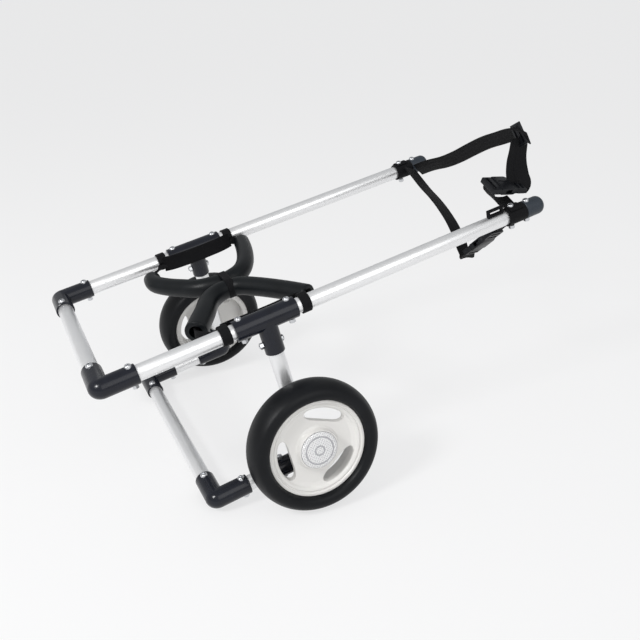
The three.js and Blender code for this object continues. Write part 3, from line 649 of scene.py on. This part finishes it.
def stations_along(line, across, across_end=None, turned_from=0.0):
    """Places along a line, with Z along it and X kept as near to across as it can be. Where an end is
    given, X turns to it over the last part of the line."""
    places = []
    steps = len(line) - 1
    for i, point in enumerate(line):
        share = max(0, (i / steps - turned_from) / (1 - turned_from))
        way = Vector(across).lerp(Vector(across_end or across), share * share * (3 - 2 * share))
        ahead = (line[min(i + 1, steps)] - line[max(i - 1, 0)]).normalized()
        through = ahead.cross(way).normalized()
        turned = Matrix((through.cross(ahead), through, ahead)).transposed().to_4x4()
        places.append(Matrix.Translation(point) @ turned)
    return places


def foam_line(side, hand):
    """The middle of a ring, eased so that the sleeve bends evenly."""
    span = rail_y - foam_centre
    points = [hand @ Vector((strut_x + x * mm, foam_centre + share * span, saddle_z))
              for x, share in saddle_route[side]]
    line = smooth_line(points, foam_stations)
    for _ in range(easing_passes):
        eased = [(before + 2 * point + after) / 4
                 for before, point, after in zip(line, line[1:], line[2:])]
        line = [line[0], *eased, line[-1]]
    return line


def foam_places(side):
    """Stations along a ring, each scaled to how full the foam is there."""
    line = foam_lines[side]
    rear, waist, front = saddle_fullness[side]
    places = []
    steps = len(line) - 1
    for i, place in enumerate(stations_along(line, (0, 0, 1))):
        share = 2 * i / steps
        full = rear + (waist - rear) * share if share < 1 else waist + (front - waist) * (share - 1)
        full *= 1 - pinch * math.exp(-((line[i].x - strut_x) / pinch_length) ** 2)
        places.append(place @ Matrix.Diagonal((full, full, 1, 1)))
    return places


def sleeve_of_foam(side):
    """The swept sleeve, with softened corners at its cut ends and a bore that follows each end's bend."""
    places = foam_places(side)
    soft, bored = 2 * mm, 16
    angles = [math.radians(angle) for angle in (0, 30, 60)]

    def tip(place, way, angle):
        full = 1 - soft / foam_radius * (1 - math.sin(angle))
        return place @ at(0, 0, way * soft * math.cos(angle)) @ Matrix.Diagonal((full, full, 1, 1))

    route = [tip(places[0], -1, angle) for angle in angles] + places
    route += [tip(places[-1], 1, angle) for angle in angles[::-1]]
    bm = bmesh.new()
    bmesh.ops.create_circle(bm, cap_ends=True, segments=40, radius=foam_radius, matrix=route[0])
    bm.faces.ensure_lookup_table()
    sweep(bm, bm.faces[0], route)
    mouths = sorted((face for face in bm.faces if len(face.verts) > 8),
                    key=lambda face: (face.calc_center_median() - route[0].translation).length)
    for mouth, inward in zip(mouths, (route[:bored], route[::-1][:bored])):
        wall = (foam_radius - foam_hole) * inward[0].median_scale
        bmesh.ops.inset_region(bm, faces=[mouth], thickness=wall)
        sweep(bm, mouth, inward)
    return bm


foam_lines = {}
for side, hand in sides.items():
    foam_lines[side] = foam_line(side, hand)
    ring = piece(f"{side}_foam_sleeve", sleeve_of_foam(side), cart, sponge,
                 stands_for=[f"{side}_foam_ring"], crease=60)

# ------------------------------------------------------------------ saddle webbing
# Black nylon webbing, woven in slanting ribs. Narrow loops wrapped round the rails run into the mouths
# of the foam, a wide band lies inside each tee between its two loops, and a tie wraps both rings.
woven, tree = shader("black nylon webbing", (0.004, 0.004, 0.0048), 0.62, Sheen_Weight=0.03,
                     Sheen_Roughness=0.4, Specular_IOR_Level=0.12)
chevron = 3.2 * mm
across, along = carried(tree)
slant = across.maths("PINGPONG", chevron)
ribs = (along + slant).wave(560) * 0.5 + 0.5
threads = across.wave(900) * 0.5 + 0.5
wear = noise(tree, 60, detail=3)
weave = ribs * 0.7 + threads * 0.3
worn = weave * 0.5 + wear * 0.5
feed(tree, "Base Color", mix(tree, worn, (0.0015, 0.0015, 0.002, 1), (0.0075, 0.0077, 0.009, 1)))
feed(tree, "Roughness", 0.56 + weave * 0.12 + wear * 0.12)
feed(tree, "Normal", bump(tree, weave, 0.0003, 0.6))

webbing_width, webbing_thickness = 25.4 * mm, 2 * mm
loop_width, loop_gap = 14 * mm, 6 * mm


def band(places, width, thickness=webbing_thickness):
    """Webbing laid along a row of places, X across it and Y through it."""
    edge = 0.4 * thickness
    half, through = width / 2, thickness / 2
    corner = [(half, through - edge), (half - edge, through)]
    outline = corner + [(-x, y) for x, y in corner[::-1]]
    outline += [(x, -y) for x, y in outline[::-1]]
    bm = bmesh.new()
    face = bm.faces.new([bm.verts.new(places[0] @ Vector((x, y, 0))) for x, y in outline])
    own, run = {}, 0.0
    for i, ring in enumerate(sweep(bm, face, places)):
        run += (places[i].translation - places[max(i - 1, 0)].translation).length
        for vertex in ring:
            own[vertex] = ((places[i].inverted() @ vertex.co).x, run)
    return marked(bm, [own[vertex] for vertex in bm.verts])


def wrap(radius, start, swing, thickness=webbing_thickness, steps=56):
    """Places round the X axis, Y outward, that climb over themselves where the wrap overlaps."""
    places, laps, rise = [], (335, 695), 20
    for i in range(steps + 1):
        angle = swing * i / steps
        climb = sum(min(max((angle - lap) / rise, 0), 1) for lap in laps)
        places.append(turn(start + angle, "X") @ at(0, radius + thickness * (0.5 + 1.02 * climb), 0))
    return places


front_loop = strut_x + tee_half + loop_gap + loop_width / 2
rear_loop = strut_x - tee_half - loop_gap - loop_width / 2
for side, hand in sides.items():
    mirrored = [hand @ point for point in foam_lines[side]]
    for where, loop_x, mouth, next_in in (("rear", rear_loop, mirrored[0], mirrored[2]),
                                          ("front", front_loop, mirrored[-1], mirrored[-3])):
        inward = (next_in - mouth).normalized()
        root = Vector((loop_x, rail_y - tube_radius - 1.4 * mm, 0))
        line = smooth_line([root + Vector((0, 0.6 * mm, 5 * mm)), root, mouth - 6 * mm * inward,
                            mouth + 10 * mm * inward], 24)
        hoop = band([at(loop_x, rail_y, 0) @ place for place in wrap(tube_radius + clearance, 120, 410)],
                    loop_width)
        tail = band(stations_along(line, (1, 0, 0), (0, 0, 1)), loop_width - 0.6 * mm)
        piece(f"{side}_{where}_loop_webbing", merged(hoop, tail), cart @ hand, woven,
              stands_for=[f"{side}_{where}_rail_loop"])
    inside = rail_y - run_radius - clearance - webbing_thickness / 2
    at_loop = rail_y - 13.9 * mm
    line = smooth_line([Vector((x, y, z)) for x, y, z in (
        (rear_loop, at_loop, -1 * mm), (strut_x - tee_half, inside - 0.2 * mm, -2 * mm),
        (strut_x - 20 * mm, inside - 0.8 * mm, -3 * mm), (strut_x + 20 * mm, inside - 0.8 * mm, -3 * mm),
        (strut_x + tee_half, inside - 0.2 * mm, -2 * mm), (front_loop, at_loop, -1 * mm))], 40)
    piece(f"{side}_saddle_webbing", band(stations_along(line, (0, 0, 1)), webbing_width), cart @ hand,
          woven, stands_for=[f"{side}_saddle_band"])

# The tie starts under the saddle, goes once round both rings and laps over its own start.
tie_width, tie_thickness = 12 * mm, 2.1 * mm
tie_start, tie_swing, tie_steps = -100, 380, 96
lap_from, lap_height, squareness = 90, 1.6 * mm, 6
waist = foam_radius * saddle_fullness["left"][1] * (1 - pinch)
tie_radius = waist + 0.2 * mm + webbing_thickness / 2
ring_off_middle = abs(foam_lines["left"][foam_stations // 2].y)
tie_line = []
for i in range(tie_steps + 1):
    angle = math.radians(tie_start + tie_swing * i / tie_steps)
    centre = ring_off_middle * max(-1, min(1, squareness * math.cos(angle)))
    height = saddle_z + tie_radius * math.sin(angle) + (lap_height if i > lap_from else 0)
    tie_line.append(Vector((strut_x, centre + tie_radius * math.cos(angle), height)))
piece("centre_tie_webbing", band(stations_along(tie_line, (1, 0, 0)), tie_width, tie_thickness), cart,
      woven, stands_for=["centre_tie"])

# ------------------------------------------------------------------ rail ends
# A rounded blue-grey plastic cap closes each rail. Behind it, a sleeve of webbing is wrapped twice
# round the tube and pinned by a bolt, with a folded tab under the bolt's head.
satin, tree = shader("blue-grey cap plastic", (0.018, 0.025, 0.036), 0.4, Specular_IOR_Level=0.4)
mould = noise(tree, 120, detail=3)
grit = noise(tree, 1500, detail=1)
feed(tree, "Base Color", mix(tree, mould, (0.014, 0.02, 0.029, 1), (0.026, 0.035, 0.047, 1)))
feed(tree, "Roughness", 0.34 + mould * 0.12 + grit * 0.06)
feed(tree, "Normal", bump(tree, grit, 0.00006, 0.4))

cap_cover, cap_nose, cap_radius = 28 * mm, 6 * mm, 13.8 * mm
collar_length, collar_radius, collar_ply = 33 * mm, 14 * mm, 1.25 * mm
collar_start = rail_end - cap_cover - clearance - collar_length


def end_cap():
    """A cup over the end of the rail, with a rounded nose."""
    rear, tip, roundness = rail_end - cap_cover, rail_end + cap_nose, 10 * mm
    floor_x, nose_steps = rail_end + clearance, 12
    profile = [(0, floor_x), (bore_radius, floor_x), (bore_radius, rear),
               (cap_radius - 0.6 * mm, rear), (cap_radius, rear + 0.6 * mm)]
    for i in range(nose_steps + 1):
        angle = math.pi / 2 * i / nose_steps
        profile.append((cap_radius - roundness * (1 - math.cos(angle)),
                        tip - roundness * (1 - math.sin(angle))))
    return lathe(profile + [(0, tip)], forward, 48)


def on_rail(x):
    return at(x, rail_y, 0)


for side, hand in sides.items():
    piece(f"{side}_cap_moulded", end_cap(), cart @ hand @ on_rail(0), satin,
          stands_for=[f"{side}_end_cap"])
    middle_x = collar_start + collar_length / 2
    bolt_x = collar_start + 11 * mm
    sleeve = band([on_rail(middle_x) @ place for place in wrap(bore_radius, 60, 700, collar_ply, 96)],
                  collar_length - 0.4 * mm, collar_ply)
    tab = band([on_rail(bolt_x + 4 * mm) @ place for place in wrap(collar_radius, 48, 74, steps=16)],
               21 * mm)
    piece(f"{side}_collar_webbing", merged(sleeve, tab), cart @ hand, woven,
          stands_for=[f"{side}_collar"])
    piece(f"{side}_collar_bolt", cross_bolt(collar_radius + 1.6 * mm), cart @ hand @ on_rail(bolt_x),
          plated)
    piece(f"{side}_cap_bolt", cross_bolt(cap_radius),
          cart @ hand @ on_rail(rail_end - cap_cover + 6 * mm), plated)

# ------------------------------------------------------------------ buckles and slider
# Black acetal side-release buckles for 25 mm webbing: a flat hollow socket with a ladder of bars at its
# end, and a plug whose two prongs show in the socket's side windows. The slider is a ring with a bar.
acetal, tree = shader("black acetal", (0.005, 0.0053, 0.0065), 0.35, Specular_IOR_Level=0.22)
sink = noise(tree, 150, detail=2)
frost = noise(tree, 1600, detail=1)
feed(tree, "Base Color", mix(tree, sink, (0.0035, 0.0038, 0.0048, 1), (0.009, 0.0098, 0.0125, 1)))
feed(tree, "Roughness", 0.28 + sink * 0.12 + frost * 0.08)
feed(tree, "Normal", bump(tree, frost, 0.00005, 0.5))

buckle_width, buckle_thickness, socket_length = 34 * mm, 11 * mm, 46 * mm
plug_base, plug_reach = 16 * mm, 22 * mm


def block(x, y, size):
    """A plain block with its middle at x and y, which cuts a room in a buckle."""
    bm = bmesh.new()
    bmesh.ops.create_cube(bm, size=1, matrix=at(x, y, 0) @ Matrix.Diagonal((*size, 1)))
    return bm


def slot_at(x):
    """A slot across a buckle that the webbing passes through."""
    return block(x, 0, (4 * mm, webbing_width + 1 * mm, 60 * mm))


def buckle_socket():
    """The mouth at X = 0 and the ladder at the far end, thinner than the mouth."""
    half, shoulder, neck, ladder = buckle_width / 2, 22 * mm, 27 * mm, 32 * mm
    outline = rounded([(0, -half), (shoulder, -half), (neck, -half + 1.5 * mm), (ladder, -half),
                       (socket_length, -half), (socket_length, half), (ladder, half),
                       (neck, half - 1.5 * mm), (shoulder, half), (0, half)], 3 * mm)
    body = slab(outline, buckle_thickness, 1.2 * mm)
    for step in range(5):
        bmesh.ops.bisect_plane(body, geom=body.verts[:] + body.edges[:] + body.faces[:],
                               plane_co=((22 + 2 * step) * mm, 0, 0), plane_no=(1, 0, 0))
    for vertex in body.verts:
        share = min(max((vertex.co.x - shoulder) / (8 * mm), 0), 1)
        vertex.co.z *= 1 - 0.3 * share * share * (3 - 2 * share)
    cavity = block(8.5 * mm, 0, (25 * mm, buckle_width - 6 * mm, 6.6 * mm))
    windows = block(13.2 * mm, 0, (11 * mm, 2 * buckle_width, 6.2 * mm))
    thumb = slab(rounded([(4 * mm, -6 * mm), (20 * mm, -4 * mm), (20 * mm, 4 * mm), (4 * mm, 6 * mm)],
                         3 * mm), 1.6 * mm)
    bmesh.ops.translate(thumb, verts=thumb.verts, vec=(0, 0, buckle_thickness / 2))
    slots = [slot_at(x) for x in (socket_length - 5.5 * mm, socket_length - 13.5 * mm)]
    return carved(body, cavity, windows, thumb, *slots)


def buckle_plug():
    """The base at -X with its webbing bar, a tongue and two prongs with wide finger pads."""
    half, thick, tongue_end = buckle_width / 2, 6 * mm, plug_reach - 2.5 * mm
    base = slab(rounded([(-plug_base, -half), (-clearance, -half), (-clearance, half),
                         (-plug_base, half)], 3.5 * mm), buckle_thickness - 2 * mm, 1.2 * mm)
    tongue = slab([(-2 * mm, -3 * mm), (tongue_end, -2.4 * mm), (tongue_end, 2.4 * mm),
                   (-2 * mm, 3 * mm)], thick, 0.5 * mm)
    outline = [(-2 * mm, 6.5 * mm), (9 * mm, 7.5 * mm), (19.6 * mm, 9 * mm), (21.4 * mm, 10.5 * mm),
               (17.5 * mm, 13.6 * mm), (11 * mm, 13.6 * mm), (8 * mm, 10.6 * mm), (-2 * mm, 10.2 * mm)]
    prongs = [slab([(x, way * y) for x, y in outline][::way], thick, 0.5 * mm) for way in (1, -1)]
    whole = carved(base, tongue, *prongs, operation="UNION")
    return carved(whole, slot_at(5.5 * mm - plug_base))


def slider():
    """A flat ring with one bar across it, which leaves two slots for the webbing."""
    long, wide = 17 * mm, 10 * mm
    body = slab(rounded([(-long, -wide), (long, -wide), (long, wide), (-long, wide)], 3.5 * mm),
                4 * mm, 1.1 * mm)
    size = (webbing_width + 1 * mm, 3.6 * mm, 40 * mm)
    return carved(body, *(block(0, way * 4.5 * mm, size) for way in (-1, 1)))


def placed(point, along, across):
    """A place with X along and Y across."""
    along = Vector(along).normalized()
    across = Vector(across)
    across = (across - across.dot(along) * along).normalized()
    turned = Matrix((along, across, along.cross(across))).transposed().to_4x4()
    return at(*(value * mm for value in point)) @ turned


shoulder_place = at(626 * mm, -144 * mm, 48 * mm) @ turn(18, "Y") @ turn(20, "X")
belly_place = placed((609, -103.6, -58.5), (0.435, -0.635, 0.635), (1, 0, 0))
slider_place = placed((677.5, -140, 109), (0.05, -0.47, -0.88), (-0.1, 0.88, -0.47))
for word, place in (("shoulder", shoulder_place), ("belly", belly_place)):
    piece(f"{word}_socket_moulded", buckle_socket(), cart @ place, acetal,
          stands_for=[f"{word}_buckle_socket"])
    piece(f"{word}_plug_moulded", buckle_plug(), cart @ place, acetal, body=f"{word}_plug",
          stands_for=[f"{word}_buckle_plug"])
piece("slider_moulded", slider(), cart @ slider_place, acetal, stands_for=["top_slider"])

# ------------------------------------------------------------------ harness straps
# 25 mm webbing. The chest strap stands on edge from the left collar up to the slider, two layers hang
# from the slider to the shoulder buckle, a short strap ties that buckle's plug to the right collar,
# and the belly strap hangs from the left collar to the plug of the belly buckle.


def swung(root, degrees, points):
    """Points of [reach, z] in an upright plane through root that runs to the right and is yawed."""
    place = at(*(value * mm for value in root)) @ turn(degrees, "Z")
    return [place @ Vector((0, -reach * mm, z * mm)) for reach, z in points]


chest = swung((668, 141.8, 0), 2.4, (
    (-2, -5), (10, 0), (24, 6), (42, 13), (86, 28), (123, 44), (164, 64.5), (201, 82), (230, 93), (268, 106),
    (284, 108), (298, 105)))
chest_line = smooth_line(chest, 90)
piece("chest_webbing", band(stations_along(chest_line, (-0.45, 0, 0.9)), webbing_width), cart, woven,
      stands_for=["chest_strap"])

hanging = []
for points, across in (
        (((674, -139, 104), (670, -139, 92), (664, -137, 70), (661, -139, 48), (662, -143, 36)), (1, 0.1, 0)),
        (((679, -141, 105), (678, -140, 92), (676, -138, 70), (676, -141, 46), (675, -145.5, 35),
          (668, -146.5, 31)), (1, -0.1, 0))):
    line = smooth_line([Vector(point) * mm for point in points], 40)
    hanging.append(band(stations_along(line, across), webbing_width - 1 * mm))
piece("doubled_webbing", merged(*hanging), cart, woven, stands_for=["doubled_strap"])

tether = smooth_line([Vector(point) * mm for point in (
    (619, -142, 52), (614.5, -141, 47), (617, -140, 38), (627, -140.5, 23), (640, -142, 16.4),
    (652, -143, 15.6))], 40)
strap = piece("plug_webbing", band(stations_along(tether, (0, 1, 0), (0.5, 0.8, 0.3)),
                                   webbing_width - 0.4 * mm), cart, woven, body=None,
              stands_for=["plug_strap"])
held, pulled = tether[26], tether[6]
cart @ held
cart @ pulled
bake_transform(strap)

belly = swung((650, 141.3, 0), -11.8, (
    (0, 4), (8.5, 2), (26, -2), (70, -12), (117, -19), (157, -30), (186, -44), (206, -62), (217, -78),
    (225, -83.5), (233, -77.5), (244, -65)))
belly_line = smooth_line(belly, 110)
belly_places = stations_along(belly_line, (0.85, -0.05, -0.5), (0.9, 0.3, -0.3), 0.75)
strap = piece("belly_webbing", band(belly_places, webbing_width), cart, woven, body=None,
              stands_for=["belly_strap"])
held, pulled = belly_line[40], belly_line[104]
cart @ held
cart @ pulled
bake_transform(strap)

# The spare end of the belly strap comes out of the ladder of its buckle.
belly_tail = smooth_line([belly_place @ Vector((x * mm, 0, z * mm))
                          for x, z in ((38, 0), (46, 0), (60, 0.4), (75, 0))], 20)
piece("belly_tail_webbing", band(stations_along(belly_tail, belly_place.col[1].xyz), webbing_width), cart,
      woven)

# The keeper is a stiff webbing loop that lies on the rail behind the right collar.
half, keeper_length, keeper_wall = 5.6 * mm, 27 * mm, 3 * mm
outer = rounded([(-keeper_length, -half), (-0.01 * mm, -half), (-0.01 * mm, half),
                 (-keeper_length, half)], 2.5 * mm)
keeper = slab(outer, 6 * mm, 0.6 * mm)
back, front, top = keeper_wall - keeper_length, -keeper_wall, half - keeper_wall
opening = slab([(back, -top), (front, -top), (front, top), (back, top)], 40 * mm)
keeper_place = at(collar_start - 5 * mm, -rail_y - 2 * mm, tube_radius + clearance + half) @ turn(90, "X")
piece("keeper_webbing", carved(keeper, opening), cart @ keeper_place, woven,
      stands_for=["strap_keeper"])

# ------------------------------------------------------------------ floor, light and camera
# A plain white floor with soft shadows, a backdrop of the same white, and a grey room round the cart,
# brighter behind and on the right. A small window light stands behind the cart and a large soft light
# to its right, and the camera looks down on its right rear corner.
paper, tree = shader("white floor", (0.9, 0.9, 0.9), 0.9)
own_light = 0.72
seen = (node(tree, "ShaderNodeLightPath", output="Is Camera Ray")
        + node(tree, "ShaderNodeLightPath", output="Is Glossy Ray"))
glow = node(tree, "ShaderNodeEmission", None, {"Color": (0.93, 0.93, 0.935, 1), "Strength": 1.0})
matt = Shade(tree, tree.nodes["Principled BSDF"].outputs[0])
surface = node(tree, "ShaderNodeMixShader", None, {0: seen * own_light, 1: matt, 2: glow})
tree.links.new(surface.socket, tree.nodes["Material Output"].inputs["Surface"])
floor_mesh = bmesh.new()
bmesh.ops.create_grid(floor_mesh, x_segments=1, y_segments=1, size=60)
floor_data = bpy.data.meshes.new("floor")
floor_mesh.to_mesh(floor_data)
floor_mesh.free()
floor_data.materials.append(paper)
floor = bpy.data.objects.new("floor", floor_data)
bpy.context.scene.collection.objects.link(floor)

world = bpy.data.worlds.new("studio")
bpy.context.scene.world = world
world.use_nodes = True
tree = world.node_tree
way = node(tree, "ShaderNodeTexCoord", output="Generated")
ahead, aside, up = (node(tree, "ShaderNodeSeparateXYZ", None, {0: way}, output=i) for i in (0, 1, 2))
room = mix(tree, ahead * 0.5 + aside * 0.5 + up * 0.2 + 0.15, (0.62, 0.62, 0.62, 1), (0.43, 0.44, 0.45, 1))
looked_at = node(tree, "ShaderNodeLightPath", output="Is Camera Ray")
backdrop = mix(tree, looked_at, room, (0.815, 0.815, 0.82, 1))
tree.links.new(backdrop.socket, tree.nodes["Background"].inputs["Color"])


def softbox(name, size, power, place, target=(0, 0, 0.2)):
    """A square soft light of a size in metres that faces the cart."""
    lamp = bpy.data.lights.new(name, "AREA")
    lamp.shape, lamp.size, lamp.energy = "SQUARE", size, power
    holder = bpy.data.objects.new(name, lamp)
    holder.location = place
    holder.rotation_euler = (Vector(target) - Vector(place)).to_track_quat("-Z", "Y").to_euler()
    bpy.context.scene.collection.objects.link(holder)


softbox("window", size=0.5, power=30, place=(-1.8, -0.7, 1.7))
softbox("front", size=2.2, power=22, place=(0.2, -2.3, 1.9))

looks_down, looks_across = 24.73, -25.95
camera_data = bpy.data.cameras.new("camera")
camera_data.lens, camera_data.sensor_width = 41.39, 36
camera = bpy.data.objects.new("camera", camera_data)
camera.location = (-0.4326, -0.9905, 0.6715)
camera.rotation_euler = (math.radians(90 - looks_down), 0, math.radians(looks_across))
bpy.context.scene.collection.objects.link(camera)
bpy.context.scene.camera = camera
bpy.context.scene.view_settings.view_transform = "Standard"
